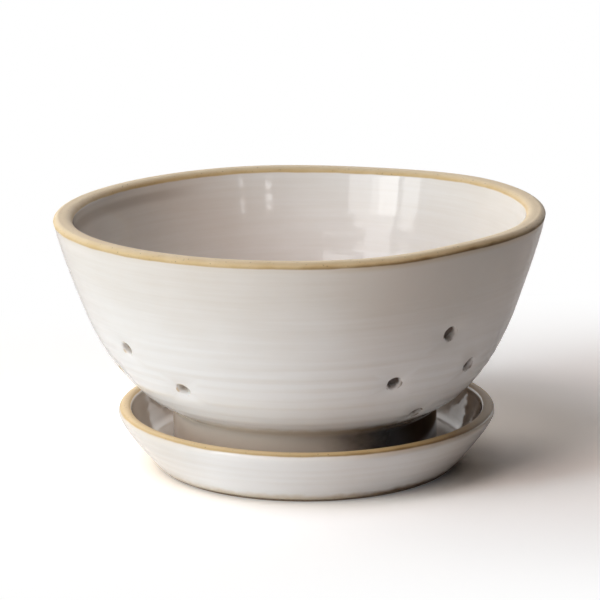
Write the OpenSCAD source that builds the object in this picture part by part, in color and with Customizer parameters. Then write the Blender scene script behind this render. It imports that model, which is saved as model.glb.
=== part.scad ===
// Wheel-thrown berry colander bowl, standing in its matching drip saucer.
// Z is up, the saucer stands on Z = 0, and the front of the pair faces -Y.
// Both pieces are turned about the Z axis, as a potter throws and trims them.

/* [Colander bowl] */
// Outside diameter across the lip of the bowl
rim_d = 178; // [150:1:210]
// Height of the bowl by itself, from its foot to the top of its lip
bowl_h = 86; // [76:1:110]
// Thickness of the wall from halfway up
wall_t = 6; // [5:0.25:8]
// Thickness of the wall where it leaves the foot
wall_base_t = 8; // [7:0.25:10]
// Thickness of the compressed lip
lip_t = 7; // [5.5:0.25:9]
// Height of the rounded cap on the lip
lip_cap_h = 2.4; // [1.5:0.1:4]
// Thickness of the floor in the middle
bowl_floor_t = 6.5; // [5:0.25:9]

/* [Foot ring] */
// Outside diameter of the trimmed foot
foot_d = 97; // [85:1:105]
// Height of the foot, from its land to where the wall springs
foot_h = 14.5; // [10:0.5:18]
// Width of the flat land that the bowl stands on
foot_land_w = 5.5; // [4:0.25:8]
// Depth of the recess trimmed inside the foot
foot_recess_h = 8; // [5:0.25:10]
// Width of the recess wall's slope and of its corner
foot_recess_slope_w = 1.5; // [0.5:0.25:3]
// Bevel on both edges of the land
foot_bevel = 1; // [0.5:0.1:1.5]

/* [Drain holes] */
// Bore of a drain hole
hole_d = 5; // [4:0.25:8]
// Radius that the glaze rounds on the mouth of a hole
hole_mouth_r = 0.6; // [0.4:0.1:1.2]
// Width of a diamond of holes, measured round the wall
diamond_w = 37; // [28:1:44]

/* [Throwing rings] */
// Spacing of the rings that fingers leave round the wall
ring_pitch = 5.4; // [4:0.2:9]
// Depth of the rings on the bowl
ring_depth = 0.22; // [0.05:0.01:0.4]
// Depth of the rings on the saucer
saucer_ring_depth = 0.16; // [0.05:0.01:0.3]

/* [Drip saucer] */
// Outside diameter across the lip of the saucer
saucer_d = 138; // [132:1:160]
// Height of the saucer
saucer_h = 22.4; // [19:0.2:30]
// Thickness of the saucer's lip
saucer_lip_t = 4.8; // [4:0.1:6]
// Height of the rounded cap on the saucer's lip
saucer_cap_h = 2.4; // [1.5:0.1:3]
// Thickness of the saucer's floor
saucer_floor_t = 5.6; // [4.5:0.2:7]
// Depth of the recess trimmed under the saucer
saucer_recess_h = 2.4; // [1:0.2:4]
// Flat floor that shows round the bowl's foot
seat_margin = 5.5; // [3:0.5:8]
// How far the heel stands out past the flat floor
heel_w = 2; // [1:0.25:3]
// Width of the bevel trimmed under the heel
heel_bevel_w = 2.4; // [1:0.2:4]
// Height of the bevel trimmed under the heel
heel_bevel_h = 1.8; // [1:0.1:3]
// Width of the flat ring that the saucer stands on
saucer_land_w = 9; // [5:0.5:14]

/* [Hidden] */
$fn = 96;

// The way up the bowl's wall, from the foot at 0 to the lip at 1.
// Each row is the share of the flare and the share of the height.
wall_shares = [[0, 0], [0.272, 0.104], [0.5, 0.26], [0.675, 0.443], [0.805, 0.64], [0.918, 0.835], [1, 1]];
// Where the inside leaves the wall and runs into the floor
floor_turn_share = 0.05;
// How full the inside curve is, at the floor's centre and at the wall
floor_flat_share = 0.62;
floor_rise_share = 0.3;
// From this share up, the wall swells to the thickness of the lip
lip_swell_share = 0.72;
// Squareness of both lips: 1 is an ellipse, and less is flatter on top
cap_round = 0.85;
// Steps round a lip
cap_steps = 12;
// Steps along one throwing ring
ring_steps = 4;
// Steps along the inside of the wall for each ring outside
inside_ring_steps = 2;
// Steps along the inside of the bowl's floor
floor_steps = 10;
// Steps along the saucer's cove
cove_steps = 12;

// Rows of a diamond of holes, as shares of the way up the wall
row_low_share = 0.125;
row_middle_share = 0.378;
row_high_share = 0.565;
// Where each diamond sits round the bowl, in degrees from +X. They were spaced by eye.
diamond_angles = [-143.4, -49.7, 40, 131];
// How much higher or lower than its rows each diamond was pierced
diamond_lift_shares = [-0.07, 0.05, -0.015, 0.02];

// How full the saucer's outside is, and how steep its cove ends
saucer_belly_share = [0.88, 0.73];
saucer_cove_share = 0.57;

// The flat floor that the foot lands on, and so where the bowl starts
seat_z = saucer_recess_h + saucer_floor_t;
flat_r = foot_d / 2 + seat_margin;
// One overrun serves all the cuts
overrun = foot_bevel;

// Working values of the bowl, in its own height from the foot
wall_h = bowl_h - lip_cap_h - foot_h;
flare_w = (rim_d - foot_d) / 2;
wall_spans = len(wall_shares) - 1;
wall_len = norm([flare_w, wall_h]);
bowl_rings = max(1, round(wall_len / ring_pitch));
wall_steps = bowl_rings * ring_steps;
floor_top = foot_recess_h + bowl_floor_t;

// Working values of the saucer
saucer_r = saucer_d / 2;
heel_r = flat_r + heel_w;
saucer_lip_z = saucer_h - saucer_cap_h;
saucer_len = norm([saucer_r - heel_r, saucer_lip_z - heel_bevel_h]);
saucer_rings = max(1, round(saucer_len / ring_pitch));
saucer_steps = saucer_rings * ring_steps;
land_r = heel_r - heel_bevel_w;

// A share that eases in and out between 0 and 1
function ease(t) = let (c = max(0, min(1, t))) c * c * (3 - 2 * c);

// A vector of length 1
function unit(v) = v / norm(v);

// The station k of the wall, with one more beyond each end
function station(k) =
    k < 0 ? 2 * station(0) - station(1)
    : k > wall_spans ? 2 * station(wall_spans) - station(wall_spans - 1)
    : [foot_d / 2 + wall_shares[k][0] * flare_w, foot_h + wall_shares[k][1] * wall_h];

// The smooth outside of the wall at share s of the way up
function wall_at(s) =
    let (k = max(0, min(wall_spans - 1, floor(s * wall_spans))), t = s * wall_spans - k,
         a = station(k - 1), b = station(k), c = station(k + 1), d = station(k + 2))
    (2 * b + (c - a) * t + (2 * a - 5 * b + 4 * c - d) * t * t + (3 * b - a - 3 * c + d) * t * t * t) / 2;

// The direction out of the wall, square to its outside
function wall_out(s) =
    let (step = 1 / wall_steps, way = unit(wall_at(s + step) - wall_at(s - step)))
    [way[1], -way[0]];

// Thickness of the wall at share s
function wall_t_at(s) =
    wall_t + (wall_base_t - wall_t) * (1 - ease(2 * s))
    + (lip_t - wall_t) * ease((s - lip_swell_share) / (1 - lip_swell_share));

// The inside of the wall at share s. It is measured level at the lip.
function inside_at(s) =
    let (level = ease((s - lip_swell_share) / (1 - lip_swell_share)),
         out = unit(wall_out(s) * (1 - level) + [1, 0] * level))
    wall_at(s) - out * wall_t_at(s);

// Depth of the throwing rings at share s, fading out at both ends
function ring_at(s, rings, depth) = depth * (cos(s * rings * 360) - 1) / 2 * ease(8 * s) * ease(8 * (1 - s));

// A point of a cubic curve through a and d, led by b and c
function cubic(a, b, c, d, t) =
    let (u = 1 - t) u * u * u * a + 3 * u * u * t * b + 3 * u * t * t * c + t * t * t * d;

// A point of a quadratic curve from a to c, led by b
function quadratic(a, b, c, t) = let (u = 1 - t) u * u * a + 2 * u * t * b + t * t * c;

// The rounded cap of a lip, from its outside over the top to its inside
function cap(outer_r, base_z, width, height) =
    [for (k = [0:cap_steps]) let (a = 180 * k / cap_steps, x = cos(a), y = sin(a))
        [outer_r - width / 2 + sign(x) * pow(abs(x), cap_round) * width / 2,
         base_z + pow(abs(y), cap_round) * height]];

// Outline of the bowl, from the centre of the recess round the outside to the centre of the floor
function bowl_outline() =
    let (r = foot_d / 2, land_in = r - foot_bevel - foot_land_w, recess_r = land_in - foot_bevel,
         corner = foot_recess_slope_w, turn = inside_at(floor_turn_share),
         lead = unit(inside_at(2 * floor_turn_share) - turn) * norm(turn) * floor_rise_share,
         under = [[0, foot_recess_h], [recess_r - 2 * corner, foot_recess_h],
                  [recess_r - corner, foot_recess_h - corner], [recess_r, foot_bevel],
                  [land_in, 0], [r - foot_bevel, 0], [r, foot_bevel]],
         wall = [for (k = [0:wall_steps - 1]) let (s = k / wall_steps)
                    wall_at(s) + wall_out(s) * ring_at(s, bowl_rings, ring_depth)],
         lip = cap(rim_d / 2, foot_h + wall_h, lip_t, lip_cap_h),
         inner_steps = inside_ring_steps * bowl_rings,
         inside = [for (k = [inner_steps - 1:-1:1])
                      inside_at(floor_turn_share + (1 - floor_turn_share) * k / inner_steps)],
         bottom = [for (k = [floor_steps:-1:0])
                      cubic([0, floor_top], [turn[0] * floor_flat_share, floor_top],
                            turn - lead, turn, k / floor_steps)])
    concat(under, wall, lip, inside, bottom);

// Outline of the saucer, from the centre of its recess round the outside to the centre of its floor
function saucer_outline() =
    let (heel = [heel_r, heel_bevel_h], rim = [saucer_r, saucer_lip_z],
         belly = [heel[0] + (rim[0] - heel[0]) * saucer_belly_share[0],
                  heel[1] + (rim[1] - heel[1]) * saucer_belly_share[1]],
         inner_rim = [saucer_r - saucer_lip_t, saucer_lip_z],
         flat_edge = [flat_r, seat_z],
         cove = [flat_r + (inner_rim[0] - flat_r) * saucer_cove_share, seat_z],
         recess_r = land_r - saucer_land_w,
         under = [[0, saucer_recess_h], [recess_r - saucer_recess_h, saucer_recess_h],
                  [recess_r, 0], [land_r, 0]],
         wall = [for (k = [0:saucer_steps - 1]) let (s = k / saucer_steps)
                    quadratic(heel, belly, rim, s) + [ring_at(s, saucer_rings, saucer_ring_depth), 0]],
         lip = cap(saucer_r, saucer_lip_z, saucer_lip_t, saucer_cap_h),
         inside = [for (k = [cove_steps - 1:-1:0]) quadratic(flat_edge, cove, inner_rim, k / cove_steps)])
    concat(under, wall, lip, inside, [[0, seat_z]]);

// Cutter for the rounded mouth of a drain hole. The clay's face is at Z = 0, and the hole goes down.
module mouth_cutter() {
    rotate_extrude()
        difference() {
            translate([0, -hole_mouth_r])
                square([hole_d / 2 + hole_mouth_r, hole_mouth_r + overrun]);
            translate([hole_d / 2 + hole_mouth_r, -hole_mouth_r])
                circle(r = hole_mouth_r);
        }
}

// One drain hole, square to the wall at share s and rounded at both mouths
module drain_hole(s) {
    face = wall_at(s);
    out = wall_out(s);
    depth = wall_t_at(s);
    translate([face[0], 0, face[1]])
        rotate([0, 90 - atan2(out[1], out[0]), 0]) {
            translate([0, 0, -depth - 2 * overrun])
                cylinder(d = hole_d, h = depth + 4 * overrun);
            mouth_cutter();
            translate([0, 0, -depth])
                mirror([0, 0, 1])
                    mouth_cutter();
        }
}

// A diamond of four holes: one low, two abreast and one high
module drain_diamond(lift) {
    middle = row_middle_share * (1 + lift);
    half_turn = diamond_w / 2 / wall_at(middle)[0] * 180 / PI;
    drain_hole(row_low_share * (1 + lift));
    drain_hole(row_high_share * (1 + lift));
    for (side = [-1, 1])
        rotate([0, 0, side * half_turn])
            drain_hole(middle);
}

// The bowl: a turned body pierced by its diamonds of drain holes
module colander_bowl() {
    color([0.91, 0.89, 0.86])
        translate([0, 0, seat_z])
            difference() {
                rotate_extrude()
                    polygon(bowl_outline());
                for (k = [0:len(diamond_angles) - 1])
                    rotate([0, 0, diamond_angles[k]])
                        drain_diamond(diamond_lift_shares[k]);
            }
}

// The saucer: a shallow turned dish whose flat floor carries the bowl's foot
module drip_saucer() {
    color([0.87, 0.83, 0.76])
        rotate_extrude()
            polygon(saucer_outline());
}

colander_bowl();
drip_saucer();
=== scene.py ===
"""Looks of a wheel-thrown berry colander bowl that stands in its drip saucer.

Sizes are in millimetres until a piece is finished, and then its mesh is scaled to metres.
Azimuths are in degrees from +X towards +Y, so the photographed front is at -90.
"""
import logging
import math
from bisect import bisect_right
from dataclasses import dataclass
from enum import Enum
from typing import Any, Callable, Iterable, Sequence

import bmesh
import bpy
from mathutils import Matrix, Vector, noise


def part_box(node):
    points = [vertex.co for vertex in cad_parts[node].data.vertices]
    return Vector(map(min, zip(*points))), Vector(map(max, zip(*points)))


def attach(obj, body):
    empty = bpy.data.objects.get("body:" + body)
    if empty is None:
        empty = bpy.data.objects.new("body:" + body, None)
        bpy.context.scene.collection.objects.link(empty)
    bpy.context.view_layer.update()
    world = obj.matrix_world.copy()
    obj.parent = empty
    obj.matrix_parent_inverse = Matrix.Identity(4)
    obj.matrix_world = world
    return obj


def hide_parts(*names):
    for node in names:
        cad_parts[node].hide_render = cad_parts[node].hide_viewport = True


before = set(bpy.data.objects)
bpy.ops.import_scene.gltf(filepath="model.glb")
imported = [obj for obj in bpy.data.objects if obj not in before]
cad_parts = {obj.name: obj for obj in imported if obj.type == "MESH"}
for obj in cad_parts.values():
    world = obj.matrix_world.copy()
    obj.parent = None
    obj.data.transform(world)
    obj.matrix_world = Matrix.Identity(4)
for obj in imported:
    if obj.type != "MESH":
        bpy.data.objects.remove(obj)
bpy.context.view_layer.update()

MM = 0.001
FAR_FROM_MOUTHS = 20.0
ABOVE_ALL = 200.0
Point = tuple[float, float]
Triple = tuple[float, float, float]
Rgb = Triple
log = logging.getLogger("berry_colander_bowl")


class Reach(Enum):
    """What a panel's light reaches, and how far away such a panel hangs, in metres."""

    ROOM = 1.6
    REFLECTIONS = 1.5


def ease(share: float) -> float:
    """Ease a share in and out between 0 and 1."""
    held = max(0.0, min(1.0, share))
    return held * held * (3 - 2 * held)


def between(a: Point, b: Point, share: float) -> Point:
    """Give the point at a share of the way from a to b."""
    return a[0] + (b[0] - a[0]) * share, a[1] + (b[1] - a[1]) * share


def heading(a: Point, b: Point) -> Point:
    """Give the direction from a to b, of length 1."""
    length = math.dist(a, b)
    return (b[0] - a[0]) / length, (b[1] - a[1]) / length


def through(a: float, b: float, c: float, d: float, share: float) -> float:
    """Run smoothly from b to c, led by their neighbours a and d.

    Args:
        a: Value before b.
        b: Value at share 0.
        c: Value at share 1.
        d: Value after c.
        share: How far to go from b to c.

    Returns:
        The value on the smooth run.
    """
    bend = 2 * a - 5 * b + 4 * c - d
    twist = 3 * b - a - 3 * c + d
    return (2 * b + (c - a) * share + bend * share**2 + twist * share**3) / 2


def curve(points: Sequence[Point], share: float) -> Point:
    """Give a point of the curve from the first point to the last, led by those between.

    Args:
        points: The ends and the points between.
        share: How far along the curve.

    Returns:
        The point.
    """
    while len(points) > 1:
        points = [between(a, b, share) for a, b in zip(points, points[1:])]
    return points[0]


def within(low: Point, high: Point, shares: Point) -> Point:
    """Give the point that is its own share of the way along each axis."""
    return tuple(a + (b - a) * share for a, b, share in zip(low, high, shares))


def around(r: float, angle: float, z: float) -> Vector:
    """Give the place at a radius, an angle in radians and a height."""
    return Vector((r * math.cos(angle), r * math.sin(angle), z))


def softened(corners: Sequence[Point], radius: float) -> list[Point]:
    """Round the inner corners of a line of straight runs.

    Args:
        corners: Ends and corners of the runs.
        radius: How far from each corner its curve starts and ends, in millimetres.

    Returns:
        The points of the softened line, with both ends as they were.
    """
    steps = 5
    line = [corners[0]]
    for before, corner, after in zip(corners, corners[1:], corners[2:]):
        start = between(corner, before, min(0.5, radius / math.dist(corner, before)))
        end = between(corner, after, min(0.5, radius / math.dist(corner, after)))
        line += [curve((start, corner, end), k / steps) for k in range(steps + 1)]
    line.append(corners[-1])
    return line


def rolled_lip(outer_r: float, base_z: float, width: float, height: float) -> list[Point]:
    """Draw the rounded top of a lip, from its outside over the crest to its inside.

    Args:
        outer_r: Radius of the lip's outside.
        base_z: Height at which the rounding starts.
        width: Thickness of the lip.
        height: Height of the rounding.

    Returns:
        The points of the rounding, a little flatter on top than an ellipse.
    """
    steps, square = 48, 0.85
    line = []
    for k in range(steps + 1):
        x, y = math.cos(math.pi * k / steps), abs(math.sin(math.pi * k / steps))
        out = math.copysign(abs(x) ** square, x)
        line.append((outer_r - width / 2 + out * width / 2, base_z + y**square * height))
    return line


@dataclass(frozen=True)
class Stretch:
    """A part of an outline whose rows of vertices are evenly spaced."""

    points: Sequence[Point]
    spacing: float


class Outline:
    """The line that a piece is turned from, measured by the way along it in millimetres.

    It runs from the axis up the outside, over the lip and down the inside to the axis again.
    """

    def __init__(self, *stretches: Stretch) -> None:
        """Join the stretches, and place the rows.

        Args:
            stretches: The stretches in order. Each starts where the last one ends.
        """
        self.points: list[Point] = [stretches[0].points[0]]
        self.ways: list[float] = [0.0]
        self.rows: list[float] = []
        for stretch in stretches:
            start = self.ways[-1]
            for point in stretch.points:
                step = math.dist(self.points[-1], point)
                if step > 0:
                    self.ways.append(self.ways[-1] + step)
                    self.points.append(point)
            length = self.ways[-1] - start
            count = max(1, round(length / stretch.spacing))
            self.rows += [start + length * k / count for k in range(count)]
        self.rows.append(self.ways[-1])

    def at(self, way: float) -> Point:
        """Find a point of the line.

        Args:
            way: The way along it.

        Returns:
            The point.
        """
        k = max(1, min(len(self.ways) - 1, bisect_right(self.ways, way)))
        share = (way - self.ways[k - 1]) / (self.ways[k] - self.ways[k - 1])
        return between(self.points[k - 1], self.points[k], share)

    def out(self, way: float) -> Point:
        """Find the direction out of the clay.

        Args:
            way: The way along the line.

        Returns:
            The direction, of length 1.
        """
        reach = 0.4
        run = heading(self.at(way - reach), self.at(way + reach))
        return run[1], -run[0]

    def nearest(self, place: Point, low: float = 0.0, high: float = math.inf) -> float:
        """Find where the line passes a place, between a low and a high way along it."""
        near = [k for k, way in enumerate(self.ways) if low <= way <= high]
        return self.ways[min(near, key=lambda k: math.dist(self.points[k], place))]


class Turned:
    """The vertices of a piece spun from an outline, known by row and by step round the axis."""

    def __init__(self, outline: Outline, steps: int) -> None:
        """Spin the outline once round the axis.

        Args:
            outline: The line to spin.
            steps: Steps in the full turn.
        """
        self.outline = outline
        self.steps = steps
        self.bm = bmesh.new()
        self.row_mark = self.bm.verts.layers.int.new("row")
        self.hole_mark = self.bm.verts.layers.int.new("hole")
        names = ("way", "skin", "lip", "ridge", "mouth")
        marks = (self.bm.verts.layers.float.new(name) for name in names)
        self.way_mark, self.skin_mark, self.lip_mark, self.ridge_mark, self.mouth_mark = marks
        line = []
        for k, way in enumerate(outline.rows):
            r, z = outline.at(way)
            line.append(self.bm.verts.new((r, 0, z)))
            line[-1][self.row_mark] = k
        edges = [self.bm.edges.new(pair) for pair in zip(line, line[1:])]
        turn = {"cent": (0, 0, 0), "axis": (0, 0, 1), "angle": math.tau, "steps": steps}
        bmesh.ops.spin(self.bm, geom=line + edges, use_merge=True, **turn)
        pole_r = 0.01
        poles = [v for v in self.bm.verts if math.hypot(v.co.x, v.co.y) < pole_r]
        bmesh.ops.remove_doubles(self.bm, verts=poles, dist=0.001)
        self.grid = {}
        for v in self.bm.verts:
            step = round(math.atan2(v.co.y, v.co.x) / math.tau * steps) % steps
            self.grid[v[self.row_mark], step] = v
            v[self.way_mark] = outline.rows[v[self.row_mark]]
            v[self.skin_mark] = 1.0
            v[self.mouth_mark] = FAR_FROM_MOUTHS

    def place(self, way: float, angle: float) -> Vector:
        """Give the point of the spun surface at a way along the outline and an angle in radians."""
        r, z = self.outline.at(way)
        return around(r, angle, z)


@dataclass(frozen=True)
class ThrowingMarks:
    """The ridges that a potter's fingers leave in a spiral round a wall.

    Attributes:
        low: Way along the outline at which they start.
        high: Way at which they end.
        pitch: Spacing of the ridges.
        depth: Height of the ridges over the smooth wall.
        seed: Moves the pattern, so that no two walls are alike.
    """

    low: float
    high: float
    pitch: float
    depth: float
    seed: float

    def lift(self, way: float, angle: float) -> float:
        """Give how far the ridges raise the wall.

        Args:
            way: Way along the outline.
            angle: Angle round the axis, in radians.

        Returns:
            The lift out of the wall, in millimetres.
        """
        if not self.low < way < self.high:
            return 0.0
        x, y = math.cos(angle), math.sin(angle)
        drift = noise.noise((x * 0.9, y * 0.9, way / 15 + self.seed))
        swell = 0.62 + 0.55 * noise.noise((x * 0.7 + self.seed, y * 0.7, way / 11))
        turn = angle / math.tau
        ridge = math.cos(math.tau * (way / self.pitch + turn + 0.45 * drift))
        fine = math.cos(math.tau * (way / self.pitch * 2.3 + 2 * turn + 0.8 * drift))
        fade = ease((way - self.low) / self.pitch / 2) * ease((self.high - way) / self.pitch / 2)
        return self.depth * (0.7 * ridge + 0.3 * fine) * swell * fade


def round_the_lip(stations: Sequence[Point], azimuth: float) -> float:
    """Give how far the lip was left high or low at an azimuth, smooth all the way round.

    Args:
        stations: Azimuths in degrees, in order, each with its lift in millimetres.
        azimuth: Where to measure.

    Returns:
        The lift.
    """
    count = len(stations)
    ahead = [(azimuth - start) % 360 for start, _ in stations]
    k = min(range(count), key=ahead.__getitem__)
    span = (stations[(k + 1) % count][0] - stations[k][0]) % 360
    return through(*(stations[(k + i) % count][1] for i in (-1, 0, 1, 2)), ahead[k] / span)


def linked(name: str, data: bpy.types.ID) -> bpy.types.Object:
    """Add an object to the scene.

    Args:
        name: Name of the object.
        data: Its mesh, light or camera.

    Returns:
        The object.
    """
    added = bpy.data.objects.new(name, data)
    bpy.context.scene.collection.objects.link(added)
    return added


def meshed(bm: bmesh.types.BMesh, name: str, material: bpy.types.Material) -> bpy.types.Object:
    """Make an object of a modelled mesh.

    Args:
        bm: The mesh in metres. It is freed.
        name: Name of the object.
        material: Its finish.

    Returns:
        The linked object.
    """
    mesh = bpy.data.meshes.new(name)
    bm.to_mesh(mesh)
    bm.free()
    mesh.materials.append(material)
    return linked(name, mesh)


def finished(bm: bmesh.types.BMesh, name: str, material: bpy.types.Material) -> bpy.types.Object:
    """Make a smooth object in metres of a modelled mesh. Its place stays in its mesh.

    Args:
        bm: The mesh in millimetres. It is freed.
        name: Name of the piece.
        material: Its finish.

    Returns:
        The linked object.
    """
    bmesh.ops.recalc_face_normals(bm, faces=bm.faces)
    bmesh.ops.scale(bm, vec=(MM, MM, MM), verts=bm.verts)
    for face in bm.faces:
        face.smooth = True
    return meshed(bm, name, material)


def arithmetic(operation: str) -> Callable[["Value", "Value | float"], "Value"]:
    """Make an operator between a value and another one or a number, which adds a Math node."""
    return lambda value, other: value.tree.maths(operation, value, other)


class Value:
    """One value in a node tree. Its arithmetic adds Math nodes."""

    def __init__(self, tree: "Tree", socket: bpy.types.NodeSocket) -> None:
        """Hold the socket and the tree that it is in."""
        self.tree = tree
        self.socket = socket

    __add__ = __radd__ = arithmetic("ADD")
    __mul__ = __rmul__ = arithmetic("MULTIPLY")
    __sub__ = arithmetic("SUBTRACT")
    larger = arithmetic("MAXIMUM")

    def __rsub__(self, other: float) -> "Value":
        """Take the value from a number."""
        return self.tree.maths("SUBTRACT", other, self)

    def __neg__(self) -> "Value":
        """Turn the sign round."""
        return self * -1.0

    def step(self, low: float, high: float) -> "Value":
        """Ease from 0 at low to 1 at high. Low may be the larger of the two."""
        inputs = {"Value": self, "From Min": low, "From Max": high}
        return self.tree.node("MapRange", inputs, interpolation_type="SMOOTHSTEP")

    def past(self, limit: float, soft: float) -> "Value":
        """Ease from 0 to 1 over a soft edge at a limit. A negative softness turns it round."""
        return self.step(limit - soft, limit + soft)

    def held(self) -> "Value":
        """Hold the value between 0 and 1."""
        return self.tree.node("Clamp", {"Value": self})


class Tree:
    """The node tree of a material or world."""

    def __init__(self, owner: bpy.types.Material | bpy.types.World) -> None:
        """Start with an empty tree.

        Args:
            owner: What the tree makes the looks of.
        """
        owner.use_nodes = True
        self.nodes = owner.node_tree.nodes
        self.links = owner.node_tree.links
        self.nodes.clear()

    def node(
        self,
        kind: str,
        inputs: dict[str | int, Any] | None = None,
        output: str | int = 0,
        **settings: Any,
    ) -> Value:
        """Add a node.

        Args:
            kind: Its type, without the ShaderNode that all types start with.
            inputs: Values or links, by the name or number of the socket.
            output: Name or number of the output to give back.
            settings: Its own settings, which are set before its sockets.

        Returns:
            The chosen output.
        """
        made = self.nodes.new("ShaderNode" + kind)
        for name, setting in settings.items():
            setattr(made, name, setting)
        for key, value in (inputs or {}).items():
            if isinstance(value, Value):
                self.links.new(value.socket, made.inputs[key])
            else:
                made.inputs[key].default_value = value
        return Value(self, made.outputs[output] if made.outputs else None)

    def maths(self, operation: str, first: Value | float, second: Value | float) -> Value:
        """Add a Math node."""
        return self.node("Math", {0: first, 1: second}, operation=operation)

    def mixed(self, share: Value | float, a: Value | Rgb, b: Value | Rgb) -> Value:
        """Mix two colours, from a at share 0 to b at share 1."""
        ends = [c if isinstance(c, Value) else (*c, 1.0) for c in (a, b)]
        return self.node("Mix", {0: share, 6: ends[0], 7: ends[1]}, 2, data_type="RGBA")

    def coated(self, base: Value | Rgb, coats: Iterable[tuple[Value, Value | Rgb]]) -> Value:
        """Lay colours over a base, one after another.

        Args:
            base: The colour underneath.
            coats: Where each coat lies, from 0 to 1, and its colour.

        Returns:
            The colour that shows.
        """
        for share, coat in coats:
            base = self.mixed(share, base, coat)
        return base

    def place(self, per: float | Triple = 1.0) -> Value:
        """Give the place on the piece, divided by one length or by one for each axis.

        Args:
            per: Millimetres that count as 1.

        Returns:
            The vector.
        """
        here = self.node("TexCoord", output="Object")
        lengths = per if isinstance(per, tuple) else (per, per, per)
        scale = tuple(1 / MM / length for length in lengths)
        return self.node("VectorMath", {0: here, 1: scale}, operation="MULTIPLY")

    def along(self, axis: str) -> Value:
        """Give the place on the piece along X, Y or Z, in millimetres."""
        return self.node("SeparateXYZ", {0: self.place()}, axis)

    def grain(self, per: float | Triple, detail: float = 2.0, rough: float = 0.5) -> Value:
        """Add noise between 0 and 1, with features of a size in all or for each axis."""
        inputs = {"Vector": self.place(per), "Scale": 1.0, "Detail": detail, "Roughness": rough}
        return self.node("TexNoise", inputs)

    def waver(self, per: float | Triple, reach: float, detail: float = 2.0) -> Value:
        """Add noise that swings to both sides of 0, through the reach from end to end."""
        return (self.grain(per, detail) - 0.5) * reach

    def mark(self, name: str) -> Value:
        """Read a mark that the modelling left on the vertices."""
        return self.node("Attribute", output="Fac", attribute_name=name)


class Site:
    """Where a place lies on a piece, as its material reads it.

    Attributes:
        tree: The material's tree.
        lip: Way down from the lip's crest, above 0 outside and below 0 inside.
        inward: The same, above 0 inside.
        mouth: Distance from the mouth of the nearest drain hole, below 0 in the hole.
        right, left: Place to the right and to the left of the axis, as photographed.
        height: Height above the table.
        outside: 1 on the outside and 0 on the inside.
        painted_right_shade: 0 on the left, rising to 1 on the right: painted shade on the side away
            from the light.
        bore: 1 deep in a drain hole and 0 elsewhere.
    """

    def __init__(self, tree: Tree) -> None:
        """Read the marks and the coordinates.

        Args:
            tree: The material's tree.
        """
        self.tree = tree
        self.lip, self.mouth = tree.mark("lip"), tree.mark("mouth")
        self.right, self.height = tree.along("X"), tree.along("Z")
        self.left, self.inward = -self.right, -self.lip
        self.outside = self.lip.past(0, 0.5)
        # Painted shade: a mask that darkens the right-hand side, away from the light, wherever it
        # is used.
        self.painted_right_shade = (self.right + tree.waver((6, 6, 3), 9, 3.0)).step(2, 30)
        self.bore = (self.mouth + tree.waver(2.4, 2.4)).step(-1.6, -3.0)


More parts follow.
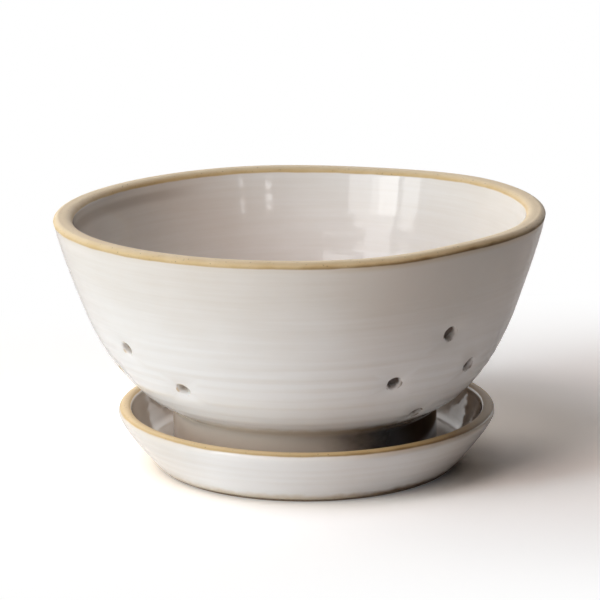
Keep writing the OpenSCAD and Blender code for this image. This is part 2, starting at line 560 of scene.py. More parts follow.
@dataclass(frozen=True)
class GlazedStoneware:
    """Off-white gloss glaze over toasted tan stoneware, wiped bare at the lip and the foot.

    Attributes:
        name: Name of the material.
        band_out: How far the bare band comes down the outside of the lip.
        band_in: How far it comes down the inside.
        bare_below: Height under which the clay is bare.
        wash_below: Height under which the outside has no more than a brown wash.
        inner_shade_above: Height over which the inside of the wall is darkened at its two sides:
            painted shade.
        painted_side_shade: How strongly painted shade darkens the outside at the left and right.
        rim_stain_and_shade: How strongly iron has stained the bare lip, and how much painted shade
            darkens it towards the right.
        glaze, thin_glaze: Colours of the glaze where it is thick, and where it runs thin.
        wash, painted_foot_shade: Colours of the thin wash on the foot, and of the near-black
            painted shade on the foot's right side.
        toast, toast_edge: Colours of the bare lip, and of where the glaze's edge left a stain on
            it; toast_edge also carries painted shade on the right. scorch: Colour of the thin line
            right at the glaze's edge, under the lip, and of dark painted shade.
        clay, clay_dark: Colours of the bare clay underneath, and of its darker grain.
        bore, painted_hole_shade: Colours deep in the holes, and of the dark painted shade in the
            holes on the right.
        speck: Colour of the iron specks.
    """

    name: str
    band_out: float
    band_in: float
    bare_below: float
    wash_below: float
    inner_shade_above: float = ABOVE_ALL
    painted_side_shade: float = 0.0
    rim_stain_and_shade: float = 0.0
    glaze: Rgb = (0.93, 0.91, 0.89)
    thin_glaze: Rgb = (0.80, 0.745, 0.68)
    wash: Rgb = (0.58, 0.49, 0.42)
    # Near-black painted shade on the right side of the foot.
    painted_foot_shade: Rgb = (0.022, 0.012, 0.009)
    toast: Rgb = (0.83, 0.68, 0.45)
    toast_edge: Rgb = (0.60, 0.42, 0.185)
    scorch: Rgb = (0.20, 0.105, 0.028)
    clay: Rgb = (0.40, 0.29, 0.195)
    clay_dark: Rgb = (0.26, 0.18, 0.115)
    bore: Rgb = (0.66, 0.53, 0.38)
    # Dark painted shade in the drain holes on the right.
    painted_hole_shade: Rgb = (0.10, 0.05, 0.025)
    speck: Rgb = (0.14, 0.085, 0.05)

    def dress(self) -> bpy.types.Material:
        """Build the material.

        Returns:
            The material, with every pattern on the piece's own coordinates and marks.
        """
        material = bpy.data.materials.new(self.name)
        tree = Tree(material)
        site = Site(tree)
        glazed = self.glazed(site)
        grit = tree.grain(0.5)
        cloud = tree.grain((22, 22, 16), 3.0)
        colour = tree.mixed(glazed, self.bare_colour(site, grit), self.glaze_colour(site, cloud))
        glossy, matt = 0.07 * cloud + 0.02, 0.22 * grit + 0.43
        inputs = {
            "Base Color": colour,
            "Roughness": glazed * glossy + (1 - glazed) * matt,
            "IOR": 1.5,
            "Normal": self.relief(tree, glazed, grit),
        }
        surface = tree.node("BsdfPrincipled", inputs)
        tree.node("OutputMaterial", {"Surface": surface})
        return material

    def glazed(self, site: Site) -> Value:
        """Give 1 where the glaze lies and 0 where the clay is bare.

        Args:
            site: Where the place lies.

        Returns:
            The share of glaze.
        """
        soft = 0.28
        waver = site.tree.waver(14, 0.7) + site.tree.waver(1.6, 0.12)
        outside = (site.lip + waver).past(self.band_out, soft)
        inside = (waver - site.lip).past(self.band_in, soft)
        in_hole = site.mouth.step(-0.8, -1.2)
        above_foot = (site.height + waver * 0.5).past(self.bare_below, soft)
        return outside.larger(inside).larger(in_hole) * above_foot

    def thinness(self, site: Site, cloud: Value) -> Value:
        """Tell how thin the glaze lies: in streaks, on the ridges and by the lip, with painted
        shade by the lip and at the sides.

        Args:
            site: Where the place lies.
            cloud: Slow noise over the piece.

        Returns:
            The thinness, from 0 to 1.
        """
        tree, height, left, right = site.tree, site.height, site.left, site.right
        clouds = (cloud - 0.42) * 0.5
        streaks = (tree.grain((34, 34, 1.5), 3.0, 0.6) - 0.5) * 0.55
        ridges = tree.mark("ridge") * (height.step(78, 52) * 0.38 + 0.17)
        # Thinner glaze towards the lip, and on the outside painted shade under the lip, deepest on
        # the right.
        by_lip = height.step(42, 92) * (site.outside * (site.painted_right_shade * 0.45 + 0.5) + 0.3)
        # Painted shade: the glaze is made thinner, so darker, at the left and right of the inside
        # and, where set, of the outside.
        inner_side_shade = (right.step(20, 80) + left.step(5, 65)) * height.step(26, 50) * 0.5
        outer_side_shade = (left.step(28, 56) + right.step(28, 60) * 0.9) * self.painted_side_shade
        sides = (1 - site.outside) * inner_side_shade + site.outside * outer_side_shade
        return (clouds + streaks + ridges + by_lip + sides).held()

    def glaze_colour(self, site: Site, cloud: Value) -> Value:
        """Colour the glaze, with what stains it at the holes, by the lip and at the foot, and with
        painted shade on the right, under the lip and on the inner walls.

        Args:
            site: Where the place lies.
            cloud: Slow noise over the piece.

        Returns:
            The colour.
        """
        tree, lip, inward, height = site.tree, site.lip, site.inward, site.height
        left, right = site.left, site.right
        outside, painted_right_shade, bore = site.outside, site.painted_right_shade, site.bore
        edge = site.mouth.step(-1.3, -0.5) * site.mouth.step(0.5, -0.2)
        worn = edge * outside * tree.grain(3.1).step(0.42, 0.62)
        under_band = lip.step(self.band_out + 2.6, self.band_out) * outside * (1 - bore)
        freckles = tree.grain(1.1, 1.0).step(0.80, 0.86)
        # Painted shadow: a dark line just under the inner lip at the back left.
        painted_rim_shadow = inward.step(6, 8) * inward.step(12, 9) * left.step(36, 62)
        painted_rim_shadow = painted_rim_shadow * height.step(70, 80) * (1 - outside)
        # Painted shade: dark crescents on the inner wall at the left and right, under the lip.
        inner_wall_shade = inward.step(self.band_in - 0.3, self.band_in + 0.9)
        inner_wall_shade = inner_wall_shade * height.step(self.inner_shade_above, self.inner_shade_above + 2)
        sides = right.step(46, 58) * 0.86 + left.step(44, 58) * 0.5
        run_low, run_high = self.wash_below + 1.5, self.wash_below + 4.5
        run_out = (height + tree.waver(5, 2.5, 3.0)).step(run_high, run_low) * outside
        washed = height.past(self.wash_below, -1.5) * outside
        coats = (
            # Clay colour deep in the holes, turning to dark painted shade in the holes on the
            # right.
            (bore * (painted_right_shade * 0.5 + 0.4), tree.mixed(painted_right_shade, self.bore, self.painted_hole_shade)),
            # Worn glaze at the hole mouths, turning to dark painted shade on the right.
            (worn * 0.75, tree.mixed(painted_right_shade * 0.85, self.toast_edge, self.painted_hole_shade)),
            # Brown glaze just under the bare band, with painted shade under the lip that deepens to
            # the right.
            (under_band * (painted_right_shade * 0.35 + 0.1), self.toast_edge),
            (freckles * 0.25, self.toast),
            # Painted shadow under the inner lip at the back left.
            (painted_rim_shadow * 0.3, self.scorch),
            # Painted shade on the inner wall at its two sides.
            (inner_wall_shade * sides, self.scorch),
            # The glaze running out above the foot, turning to painted shade on the right.
            (run_out * (painted_right_shade * 0.3 + 0.55), tree.mixed(painted_right_shade, self.toast_edge, self.scorch)),
            # The foot's thin wash, turning to near-black painted shade on the right.
            (washed, tree.mixed(painted_right_shade, self.wash, self.painted_foot_shade)),
        )
        glaze = tree.mixed(self.thinness(site, cloud), self.glaze, self.thin_glaze)
        return tree.coated(glaze, coats)

    def bare_colour(self, site: Site, grit: Value) -> Value:
        """Colour the bare clay: honey on the lip, darker along the glaze's edge, brown underneath,
        with painted shade darkening the lip towards the right.

        Args:
            site: Where the place lies.
            grit: Fine noise over the piece.

        Returns:
            The colour.
        """
        tree, lip, right = site.tree, site.lip, site.right
        outer = lip.step(self.band_out * 0.35, self.band_out)
        inner = site.inward.step(self.band_in * 0.4, self.band_in)
        blush = tree.waver((7, 7, 3), 1.0, 3.0)
        seam = (lip + blush * 1.2).step(self.band_out - 1.3, self.band_out - 0.1)
        stains = (
            ((outer.larger(inner) * 0.85 + blush * 0.7).held(), self.toast_edge),
            # Iron stain on the bare lip, with painted shade that darkens it towards the right.
            (self.rim_stain_and_shade * (1 + right.step(-30, 45) * 0.9), self.toast_edge),
            (right.step(20, 62) * self.rim_stain_and_shade * 1.3, self.scorch),
            # The dark line at the glaze's edge, with painted shade that deepens it towards the
            # right.
            (seam * (right.step(-42, 54) * 0.85 + 0.08), self.scorch),
        )
        above_foot = site.height.step(self.bare_below, self.bare_below + 4)
        specks = tree.grain(0.8, 1.0).step(0.68, 0.76)
        coats = ((above_foot, tree.coated(self.toast, stains)), (specks * 0.5, self.speck))
        return tree.coated(tree.mixed(grit.step(0.35, 0.7), self.clay, self.clay_dark), coats)

    def relief(self, tree: Tree, glazed: Value, grit: Value) -> Value:
        """Raise the glaze over the clay, ripple it, and roughen the clay.

        Args:
            tree: The material's tree.
            glazed: The share of glaze.
            grit: Fine noise over the piece.

        Returns:
            The bent normal.
        """
        ripple = tree.grain((11, 11, 5))
        lines = tree.grain((60, 60, 0.9))
        height = glazed * (0.14 + 0.05 * ripple + 0.016 * lines) + (1 - glazed) * 0.05 * grit
        return tree.node("Bump", {"Strength": 1.0, "Distance": MM, "Height": height})


@dataclass
class DripSaucer:
    """The shallow saucer that catches what drains. The bowl's foot stands on its flat floor.

    A size ends in r for a radius, t for a thickness, h for a height, w for a width or z for a
    height above the table. Those of the outline, and its shares, are the same as in part.scad.
    """

    outer_r: float
    top_z: float
    seat_z: float
    lip_t: float = 4.8
    lip_cap_h: float = 2.4
    flat_r: float = 54
    heel_w: float = 2
    bevel_w: float = 2.4
    bevel_h: float = 1.8
    land_w: float = 9
    recess_h: float = 2.4
    belly_share: Point = (0.88, 0.73)
    cove_share: float = 0.57
    ridge_h: float = 0.2
    spin_steps: int = 288
    lip_lifts: tuple[Point, ...] = (
        (-150, -0.3), (-80, -0.75), (-20, -0.4),
        (50, -0.12), (110, 0.1), (165, -0.08),
    )

    def outline(self) -> Outline:
        """Draw the outline.

        Returns:
            The saucer's outline.
        """
        steps, toe = 60, 6
        heel_r = self.flat_r + self.heel_w
        land_r = heel_r - self.bevel_w
        recess_r = land_r - self.land_w
        rim_z = self.top_z - self.lip_cap_h
        heel, rim = (heel_r, self.bevel_h), (self.outer_r, rim_z)
        belly = within(heel, rim, self.belly_share)
        inner_rim = (self.outer_r - self.lip_t, rim_z)
        flat_edge = (self.flat_r, self.seat_z)
        cove = (self.flat_r + (inner_rim[0] - self.flat_r) * self.cove_share, self.seat_z)
        wall = [curve((heel, belly, rim), k / steps) for k in range(steps + 1)]
        inside = [curve((inner_rim, cove, flat_edge), k / steps) for k in range(steps + 1)]
        recess = (recess_r - self.recess_h, self.recess_h)
        under = [(0, self.recess_h), recess, (recess_r, 0), (land_r, 0), heel, wall[toe]]
        lip = rolled_lip(self.outer_r, rim_z, self.lip_t, self.lip_cap_h)
        return Outline(
            Stretch(softened(under, radius=0.6), spacing=1.1),
            Stretch(wall[toe:], spacing=1.1),
            Stretch(lip, spacing=0.42),
            Stretch(inside, spacing=1.0),
            Stretch([flat_edge, (0, self.seat_z)], spacing=2.2),
        )

    def build(self) -> bpy.types.Object:
        """Turn the saucer and dress it.

        Returns:
            The finished object.
        """
        outline = self.outline()
        turned = Turned(outline, self.spin_steps)
        rim_z = self.top_z - self.lip_cap_h
        lip_out = outline.nearest((self.outer_r, rim_z))
        crest = outline.nearest((self.outer_r - self.lip_t / 2, self.top_z), lip_out)
        heel = outline.nearest((self.flat_r + self.heel_w, self.bevel_h), high=lip_out)
        flat = outline.nearest((self.flat_r, self.seat_z), crest)
        marks = (
            ThrowingMarks(heel, lip_out, pitch=4.6, depth=0.10, seed=3.1),
            ThrowingMarks(crest + 3, flat, pitch=4.2, depth=0.05, seed=5.7),
        )
        for v in turned.bm.verts:
            way = v[turned.way_mark]
            angle = math.atan2(v.co.y, v.co.x)
            lift = sum(mark.lift(way, angle) for mark in marks)
            r, z = outline.out(way)
            v.co += around(r, angle, z) * lift
            v[turned.lip_mark] = crest - way
            v[turned.ridge_mark] = lift / self.ridge_h
            raised = ease((v.co.z - self.seat_z) / (self.top_z - self.seat_z))
            v.co.z += raised * round_the_lip(self.lip_lifts, math.degrees(angle))
        heights = {"bare_below": 1.3, "wash_below": 0, "inner_shade_above": 8.5}
        finish = GlazedStoneware(
            "saucer_stoneware", band_out=2.4, band_in=2.1, **heights, painted_side_shade=0.9, rim_stain_and_shade=0.5
        )
        return finished(turned.bm, "saucer_glazed", finish.dress())


@dataclass
class ColanderBowl:
    """The pierced bowl: trimmed foot, flared wall, compressed lip and diamonds of drain holes.

    Its sizes are named as the saucer's are. Each row of holes is a diamond, and each hole has an
    azimuth and the height of its outer mouth.
    """

    rim_r: float
    top_z: float
    seat_z: float
    foot_r: float = 48.5
    foot_h: float = 14.5
    land_w: float = 5.5
    foot_bevel: float = 1
    recess_h: float = 8
    recess_slope_w: float = 1.5
    wall_t: float = 6
    wall_base_t: float = 8
    lip_t: float = 7
    lip_cap_h: float = 2.4
    bead_w: float = 4.9
    bead_h: float = 0.26
    groove_h: float = 0.24
    ridge_h: float = 0.15
    floor_t: float = 6.5
    hole_r: float = 2.5
    mouth_r: float = 0.7
    inner_mouth_r: float = 1.7
    spin_steps: int = 320
    row_spacing: float = 1.28
    aside: float = -0.5
    lean_share: float = -0.0215
    tilt_share: float = 0.0084
    slump_share: float = 0.014
    wall_shares: tuple[Point, ...] = (
        (0, 0), (0.272, 0.104), (0.5, 0.26), (0.675, 0.443),
        (0.805, 0.64), (0.918, 0.835), (1, 1),
    )
    floor_turn_share: float = 0.05
    floor_flat_share: float = 0.62
    floor_rise_share: float = 0.3
    lip_swell_share: float = 0.72
    lip_lifts: tuple[Point, ...] = (
        (-165, 0.1), (-131, 0.3), (-100, 0.0), (-72, -0.25), (-47, 0.85),
        (-15, 0.2), (35, 0.5), (70, -0.5), (107, 0.3), (150, 0.0),
    )
    holes: tuple[Point, ...] = (
        (-143.5, 54.7), (-159.5, 41.2), (-127.0, 41.9), (-148.5, 25.8),
        (-49.5, 61.0), (-36.0, 46.0), (-64.0, 45.4), (-49.0, 29.6),
        (40.4, 57.6), (25.3, 43.8), (54.6, 44.5), (39.2, 27.4),
        (130.6, 58.8), (116.2, 45.2), (145.7, 44.3), (131.5, 28.1),
    )

    def __post_init__(self) -> None:
        """Work out the heights that the sizes set."""
        self.spring_z = self.seat_z + self.foot_h
        self.rim_z = self.top_z - self.lip_cap_h
        self.floor_z = self.seat_z + self.recess_h + self.floor_t

    def station(self, k: int) -> Point:
        """Find a station of the wall. One more lies beyond each end.

        Args:
            k: Its number, from 0 at the foot.

        Returns:
            The station.
        """
        last = len(self.wall_shares) - 1
        if k < 0:
            return between(self.station(1), self.station(0), 2)
        if k > last:
            return between(self.station(last - 1), self.station(last), 2)
        foot, rim = (self.foot_r, self.spring_z), (self.rim_r, self.rim_z)
        return within(foot, rim, self.wall_shares[k])

    def wall_at(self, share: float) -> Point:
        """Find a point of the wall's outside.

        Args:
            share: How far up the wall.

        Returns:
            The point.
        """
        spans = len(self.wall_shares) - 1
        k = max(0, min(spans - 1, math.floor(share * spans)))
        near = [self.station(k + i) for i in (-1, 0, 1, 2)]
        return tuple(through(*(p[axis] for p in near), share * spans - k) for axis in range(2))

    def inside_at(self, share: float) -> Point:
        """Find a point of the wall's inside. The thickness is measured level at the lip.

        Args:
            share: How far up the wall.

        Returns:
            The point.
        """
        reach = 0.01
        run = heading(self.wall_at(share - reach), self.wall_at(share + reach))
        swell = ease((share - self.lip_swell_share) / (1 - self.lip_swell_share))
        out = heading((0, 0), (run[1] * (1 - swell) + swell, -run[0] * (1 - swell)))
        thick = self.wall_t + (self.wall_base_t - self.wall_t) * (1 - ease(2 * share))
        thick += (self.lip_t - self.wall_t) * swell
        r, z = self.wall_at(share)
        return r - out[0] * thick, z - out[1] * thick

    def outline(self) -> Outline:
        """Draw the outline.

        Returns:
            The outline of the bowl before its holes are bored.
        """
        steps, toe = 400, 8
        land_in = self.foot_r - self.foot_bevel - self.land_w
        recess_r = land_in - self.foot_bevel
        slope = self.recess_slope_w
        wall = [self.wall_at(k / steps) for k in range(steps + 1)]
        under = [
            (0, self.seat_z + self.recess_h),
            (recess_r - 2 * slope, self.seat_z + self.recess_h),
            (recess_r - slope, self.seat_z + self.recess_h - slope),
            (recess_r, self.seat_z + self.foot_bevel),
            (land_in, self.seat_z),
            (self.foot_r - self.foot_bevel, self.seat_z),
            (self.foot_r, self.seat_z + self.foot_bevel),
            (self.foot_r, self.spring_z),
            wall[toe],
        ]
        turn = self.inside_at(self.floor_turn_share)
        lead = heading(turn, self.inside_at(2 * self.floor_turn_share))
        rise = math.hypot(*turn) * self.floor_rise_share
        slope_in = (turn[0] - lead[0] * rise, turn[1] - lead[1] * rise)
        flat = (turn[0] * self.floor_flat_share, self.floor_z)
        bowed = (turn, slope_in, flat, (0, self.floor_z))
        low, span = self.floor_turn_share, 1 - self.floor_turn_share
        inside = [self.inside_at(low + span * k / steps) for k in range(steps, -1, -1)]
        lip = rolled_lip(self.rim_r, self.rim_z, self.lip_t, self.lip_cap_h)
        return Outline(
            Stretch(softened(under, radius=0.8), spacing=1.15),
            Stretch(wall[toe:], self.row_spacing),
            Stretch(lip, spacing=0.45),
            Stretch(inside, self.row_spacing),
            Stretch([curve(bowed, k / steps) for k in range(steps + 1)], spacing=1.6),
        )

    def build(self) -> bpy.types.Object:
        """Turn the bowl, bore its holes, mark it, let it lean and dress it.

        Returns:
            The finished object.
        """
        outline = self.outline()
        turned = Turned(outline, self.spin_steps)
        lip_out = outline.nearest((self.rim_r, self.rim_z))
        self.crest = outline.nearest((self.rim_r - self.lip_t / 2, self.top_z), lip_out)
        self.bore_holes(turned)
        spring = outline.nearest((self.foot_r, self.spring_z), high=lip_out)
        marks = (
            ThrowingMarks(spring, lip_out, pitch=5.4, depth=0.05, seed=0.4),
            ThrowingMarks(spring + 4, spring + 45, pitch=4.7, depth=0.13, seed=2.9),
            ThrowingMarks(self.crest + 4, outline.ways[-1] - 12, pitch=7.5, depth=0.06, seed=8.2),
        )
        for v in turned.bm.verts:
            way = v[turned.way_mark]
            v[turned.lip_mark] = self.crest - way
            if v[turned.skin_mark] == 1.0:
                angle = math.atan2(v.co.y, v.co.x)
                lift = sum(mark.lift(way, angle) for mark in marks)
                v[turned.ridge_mark] = lift / self.ridge_h
                lift += self.bead(self.crest - way)
                r, z = outline.out(way)
                v.co += around(r, angle, z) * lift
            v.co = self.settled(v.co)
        heights = {"bare_below": self.seat_z + 1.2, "wash_below": self.spring_z + 0.5}
        finish = GlazedStoneware("bowl_stoneware", band_out=4.6, band_in=4.3, **heights)
        return finished(turned.bm, "bowl_glazed", finish.dress())

    def bead(self, down: float) -> float:
        """Give how far the bare lip stands proud of the glazed wall.

        Args:
            down: Way down the outside from the lip's crest.

        Returns:
            The lift out of the wall, in millimetres.
        """
        start, swell_w, fall_w = 0.5, 1.5, 1.6
        dip_w, climb_w = 1.2, 4
        past = down - self.bead_w
        roll = ease((down - start) / swell_w) * ease(-past / fall_w)
        groove = ease((past + dip_w) / dip_w) * ease((climb_w - past) / climb_w)
        return self.bead_h * roll - self.groove_h * groove

    def bore_holes(self, turned: Turned) -> None:
        """Bore the drain holes: gather the grid round the mouths, open them and join them in pairs.

        Args:
            turned: The spun bowl.
        """
        bm, outline = turned.bm, turned.outline
        plugs = []
        axes = {}
        for number, (azimuth, height) in enumerate(self.holes, 1):
            outer_way, inner_way, thick = self.ways_through(outline, height)
            angle = math.radians(azimuth)
            r, z = outline.out(outer_way)
            axis = around(r, angle, z)
            axes[number] = (turned.place(outer_way, angle), axis, thick)
            plugs += self.gather(turned, number, outer_way, angle, -axis, self.mouth_r)
            plugs += self.gather(turned, number, inner_way, angle, axis, self.inner_mouth_r)
        bmesh.ops.delete(bm, geom=plugs, context="FACES")
        for number in axes:
            rims = [e for e in bm.edges if e.is_boundary and e.verts[0][turned.hole_mark] == number]
            bmesh.ops.bridge_loops(bm, edges=rims)
        rungs = [e for e in bm.edges if self.joins_mouths(turned, e)]
        made = bmesh.ops.subdivide_edges(bm, edges=rungs, cuts=5, use_grid_fill=True)["geom_inner"]
        for v in made:
            if isinstance(v, bmesh.types.BMVert):
                start, axis, thick = axes[v[turned.hole_mark]]
                depth = (start - v.co).dot(axis)
                v[turned.mouth_mark] = -self.mouth_r - min(depth, thick - depth)
                v[turned.skin_mark] = 0.0

    def joins_mouths(self, turned: Turned, edge: bmesh.types.BMEdge) -> bool:
        """Tell whether an edge runs through a hole, from one mouth to the other."""
        a, b = ((v[turned.hole_mark], v[turned.way_mark] < self.crest) for v in edge.verts)
        return a[0] == b[0] > 0 and a[1] != b[1]

    def ways_through(self, outline: Outline, height: float) -> Triple:
        """Find where a hole's axis passes the two sides of the wall.

        Args:
            outline: The bowl's outline.
            height: Height of the hole's outer mouth.

        Returns:
            The ways along the outline of its two mouths, and the wall's thickness there.
        """
        wall = [w for w in outline.ways if w < self.crest and outline.at(w)[1] > self.spring_z]
        outer_way = min(wall, key=lambda way: abs(outline.at(way)[1] - height))
        face, out = outline.at(outer_way), outline.out(outer_way)
        tried = []
        for thick in (tenths / 10 for tenths in range(40, 120)):
            place = between(face, (face[0] - out[0], face[1] - out[1]), thick)
            way = outline.nearest(place, self.crest)
            tried.append((math.dist(outline.at(way), place), way, thick))
        return outer_way, *min(tried)[1:]

    def gather(
        self, turned: Turned, number: int, way: float, angle: float, sink: Vector, mouth: float
    ) -> list[bmesh.types.BMFace]:
        """Gather the grid round one mouth into circles, and round the mouth's edge.

        Args:
            turned: The spun bowl.
            number: Number of the hole, from 1.
            way: Way along the outline of the mouth's centre.
            angle: Its angle round the bowl, in radians.
            sink: Direction into the hole.
            mouth: Radius of the mouth's rounding.

        Returns:
            The faces that close the mouth.
        """
        outline, steps = turned.outline, turned.steps
        row = min(range(len(outline.rows)), key=lambda k: abs(outline.rows[k] - way))
        step = round(angle / math.tau * steps)
        near, far = 3, 6
        edge = self.hole_r
        halfway = mouth * (1 - math.sqrt(0.5))
        circles = ((edge, mouth), (edge + halfway, halfway), (edge + mouth, 0))
        inner = set()
        for rows in range(-far, far + 1):
            for turns in range(-far, far + 1):
                v = turned.grid[row + rows, (step + turns) % steps]
                ring = max(abs(rows), abs(turns))
                if ring <= near:
                    inner.add(v)
                if not near <= ring < far:
                    continue
                radius, depth = circles[ring - near]
                across, along = round_the_square(rows, turns)
                kept = ease((ring - near - 2) / (far - near - 2))
                new_way = (way + radius * across) * (1 - kept) + v[turned.way_mark] * kept
                r = outline.at(new_way)[0]
                own_angle = (step + turns) / steps * math.tau - angle
                new_angle = radius * along / r * (1 - kept) + own_angle * kept
                v.co = turned.place(new_way, angle + new_angle) + sink * depth
                v[turned.way_mark] = new_way
                off = math.hypot(new_way - way, new_angle * r)
                v[turned.mouth_mark] = off - edge - mouth - depth
                if ring == near:
                    v[turned.hole_mark] = number
        return list({face for v in inner for face in v.link_faces if inner.issuperset(face.verts)})

    def settled(self, place: Vector) -> Vector:
        """Let a place lean, tilt and wave as the bowl did when it dried. The foot stays flat.

        Args:
            place: A place on the true bowl.

        Returns:
            Where it came to.
        """
        share_at_rim = 0.9
        risen = ease((place.z - self.spring_z) / (self.rim_z - self.spring_z) * share_at_rim)
        azimuth = math.degrees(math.atan2(place.y, place.x))
        reach = math.hypot(place.x, place.y) / self.rim_r
        lift = (self.tilt_share * place.x + reach * round_the_lip(self.lip_lifts, azimuth)) * risen
        slump = 4 * self.slump_share * place.x * risen * (1 - risen)
        lean = self.aside + self.lean_share * (place.z - self.seat_z)
        return place + Vector((lean, 0, lift + slump))


def round_the_square(across: int, along: int) -> Point:
    """Send a place on a square ring to a circle of radius 1, evenly spread.

    Args:
        across: Place on the first axis.
        along: Place on the second axis.

    Returns:
        The place on the circle.
    """
    if abs(across) >= abs(along):
        reach, turn = across, math.pi / 4 * along / across
    else:
        reach, turn = along, math.pi / 2 - math.pi / 4 * across / along
    return math.copysign(1, reach) * math.cos(turn), math.copysign(1, reach) * math.sin(turn)


@dataclass(frozen=True)
class Panel:
    """A soft lamp: a window pane or a pale wall that shines from one patch of the room.

    Attributes:
        name: Name of the lamp.
        azimuth: Where the patch starts and ends round the object, in degrees.
        elevation: Where it starts and ends above the floor, in degrees.
        shine: Brightness of its surface, where 1 shows as white.
        colour: Colour of its light.
        nearer: How far it hangs in front of the others, in metres.
    """

    name: str
    azimuth: Point
    elevation: Point
    shine: float
    colour: Rgb = (1.0, 1.0, 1.0)
    nearer: float = 0.0

    def hang(self, target: Vector, reach: Reach) -> None:
        """Hang the lamp, facing the object.

        Args:
            target: Where it points.
            reach: What its light reaches.
        """
        distance = reach.value - self.nearer
        turn, rise = (math.radians(sum(pair) / 2) for pair in (self.azimuth, self.elevation))
        spans = (math.radians(end - start) for start, end in (self.azimuth, self.elevation))
        wide, high = (2 * math.tan(span / 2) * distance for span in spans)
        wide *= math.cos(rise)
        light = bpy.data.lights.new(self.name, "AREA")
        light.shape = "RECTANGLE"
        light.size, light.size_y = wide, high
        light.energy = self.shine * math.pi * wide * high
        light.color = self.colour
        lamp = linked(self.name, light)
        away = around(math.cos(rise), turn, math.sin(rise))
        lamp.location = target + away * distance
        lamp.rotation_euler = away.to_track_quat("Z", "Y").to_euler()
        lamp.visible_camera = False
        lamp.visible_glossy = reach is Reach.REFLECTIONS
        lamp.visible_diffuse = reach is Reach.ROOM


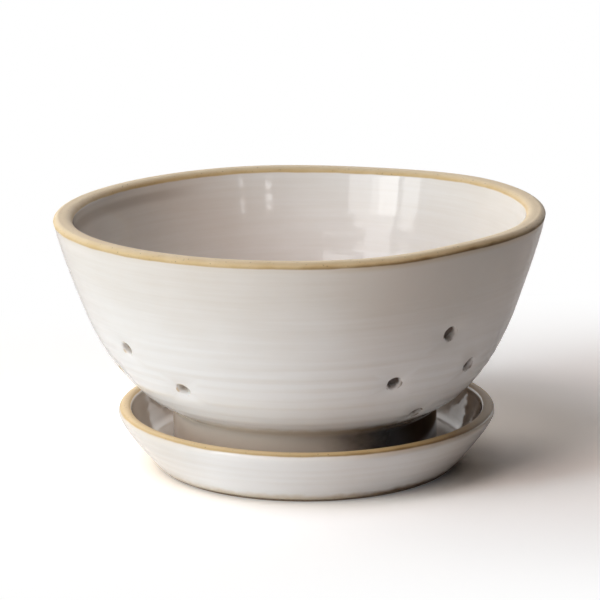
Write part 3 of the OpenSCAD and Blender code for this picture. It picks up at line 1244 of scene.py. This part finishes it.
@dataclass
class Studio:
    """The plain pale floor, the soft light and the camera.

    Attributes:
        floor_r: Radius of the floor, in metres.
        eye: Where the camera stands, in metres.
        pitch: How far it looks down, in radians.
        roll: How far it leans, in radians.
        lens: Its focal length, in millimetres.
        lamps: The panels that light the object, and aren't mirrored in its glaze.
        panes: The panels that are mirrored in its glaze, and light nothing.
    """

    floor_r: float = 7.0
    eye: Triple = (-0.00224, -1.0654, 0.3123)
    pitch: float = 0.2322
    roll: float = -0.0056
    lens: float = 180
    lamps: tuple[Panel, ...] = (
        Panel("window_light", (-144, -116), (8, 64), 3.6, (1.0, 0.80, 0.69)),
        Panel("low_left_light", (-157, -144), (3, 25), 14.2, (0.63, 0.89, 1.0)),
        Panel("roof_light", (-160, -100), (50, 75), 2.1, (0.90, 0.92, 1.0)),
        Panel("left_light", (-205, -157), (25, 50), 0.8, (0.74, 0.85, 1.0)),
        Panel("far_left_light", (-240, -205), (3, 25), 6.4, (1.0, 0.90, 0.80)),
        Panel("back_light", (80, 120), (3, 25), 2.7, (1.0, 0.93, 0.90)),
    )
    panes: tuple[Panel, ...] = (
        Panel("window_pane", (-147, -118), (4, 22.5), 2.5),
        Panel("window_sill", (-147, -122.5), (22.5, 26.5), 2.5),
        Panel("window_foot", (-147, -131), (26.5, 30), 2.5),
        Panel("window_glow", (-147, -131), (2, 22), 1.5, nearer=0.04),
        Panel("window_heart", (-146.5, -136), (2, 20), 1.8, nearer=0.08),
        Panel("narrow_pane", (-160, -149.5), (4, 21.5), 2.8),
        Panel("sky_pane", (-133, -104), (31, 37), 2.5),
        Panel("left_glint", (-74.6, -71), (17.2, 20.2), 5.0),
        Panel("far_left_glint", (-58.6, -56.4), (17.8, 21.5), 3.2),
        Panel("backdrop", (40, 140), (2, 45), 1.2),
    )

    def lay_floor(self) -> None:
        """Lay the floor."""
        bm = bmesh.new()
        bmesh.ops.create_circle(bm, cap_ends=True, segments=96, radius=self.floor_r)
        meshed(bm, "floor", self.floor_finish())

    def floor_finish(self) -> bpy.types.Material:
        """Make the pale floor. It is brighter to the camera, so that full light shows as white.

        Returns:
            The material.
        """
        material = bpy.data.materials.new("pale_floor")
        tree = Tree(material)
        seen = tree.node("LightPath", output="Is Camera Ray")
        out = tree.node("VectorMath", {0: tree.place()}, "Value", operation="LENGTH")
        # Round the saucer's foot the floor is darker to the camera: painted contact shadow.
        pale, painted_contact_shade, beyond = (0.95, 0.94, 0.935), (1.16, 1.11, 1.04), (1.50, 1.48, 1.465)
        colour = tree.mixed(seen, pale, tree.mixed(out.step(80, 56), beyond, painted_contact_shade))
        paint = tree.node("BsdfDiffuse", {"Color": colour})
        glow = tree.node("Emission", {"Color": (1, 1, 1, 1), "Strength": 1.0})
        shade_end = (60.0, 38.0, 0.0)
        ends = {0: tree.place((2.5, 1, 1)), 1: shade_end}
        far = tree.node("VectorMath", ends, "Value", operation="DISTANCE")
        # Away from the saucer's shadow on the right the floor glows white to the camera, painting
        # light over that shadow's outer edge.
        share = far.step(60, 225) * seen
        surface = tree.node("MixShader", {0: share, 1: paint, 2: glow})
        tree.node("OutputMaterial", {"Surface": surface})
        return material

    def light(self) -> None:
        """Hang the panels in a room that shows as white and is faintly mirrored in the glaze."""
        target = Vector((0, 0, 0.05))
        for reach, panels in ((Reach.ROOM, self.lamps), (Reach.REFLECTIONS, self.panes)):
            for panel in panels:
                panel.hang(target, reach)
        world = bpy.data.worlds.new("room")
        bpy.context.scene.world = world
        tree = Tree(world)
        seen = tree.node("LightPath", output="Is Camera Ray")
        gloss = tree.node("LightPath", output="Is Glossy Ray")
        mirrored = 0.27
        strength = seen.larger(gloss * mirrored)
        surface = tree.node("Background", {"Color": (1, 1, 1, 1), "Strength": strength})
        tree.node("OutputWorld", {"Surface": surface})

    def place_camera(self) -> None:
        """Set the camera where the photograph was taken from."""
        camera = bpy.data.cameras.new("camera")
        camera.lens, camera.sensor_width, camera.clip_start = self.lens, 36, 0.05
        down = Matrix.Rotation(math.pi / 2 - self.pitch, 4, "X")
        lean = Matrix.Rotation(math.atan(self.roll), 4, "Z")
        eye = linked("camera", camera)
        eye.matrix_world = Matrix.Translation(self.eye) @ down @ lean
        bpy.context.scene.camera = eye


def main() -> None:
    """Build, dress and light the bowl and its saucer."""
    logging.basicConfig(level=logging.INFO, format="%(message)s")
    bpy.context.scene.view_settings.view_transform = "Standard"
    bowl_low, bowl_high = (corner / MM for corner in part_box("colander_bowl"))
    saucer_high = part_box("drip_saucer")[1] / MM
    saucer = DripSaucer(outer_r=saucer_high.x, top_z=saucer_high.z, seat_z=bowl_low.z)
    bowl = ColanderBowl(rim_r=bowl_high.x, top_z=bowl_high.z, seat_z=bowl_low.z)
    for maker, node, body, slot in (
        (saucer, "drip_saucer", "saucer", "saucer_glaze"),
        (bowl, "colander_bowl", "bowl", "bowl_glaze"),
    ):
        piece = maker.build()
        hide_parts(node)
        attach(piece, body)
        log.info("%s: %d faces, rides on %s", piece.name, len(piece.data.polygons), body)
    studio = Studio()
    studio.lay_floor()
    studio.light()
    studio.place_camera()


if __name__ == "__main__":
    main()
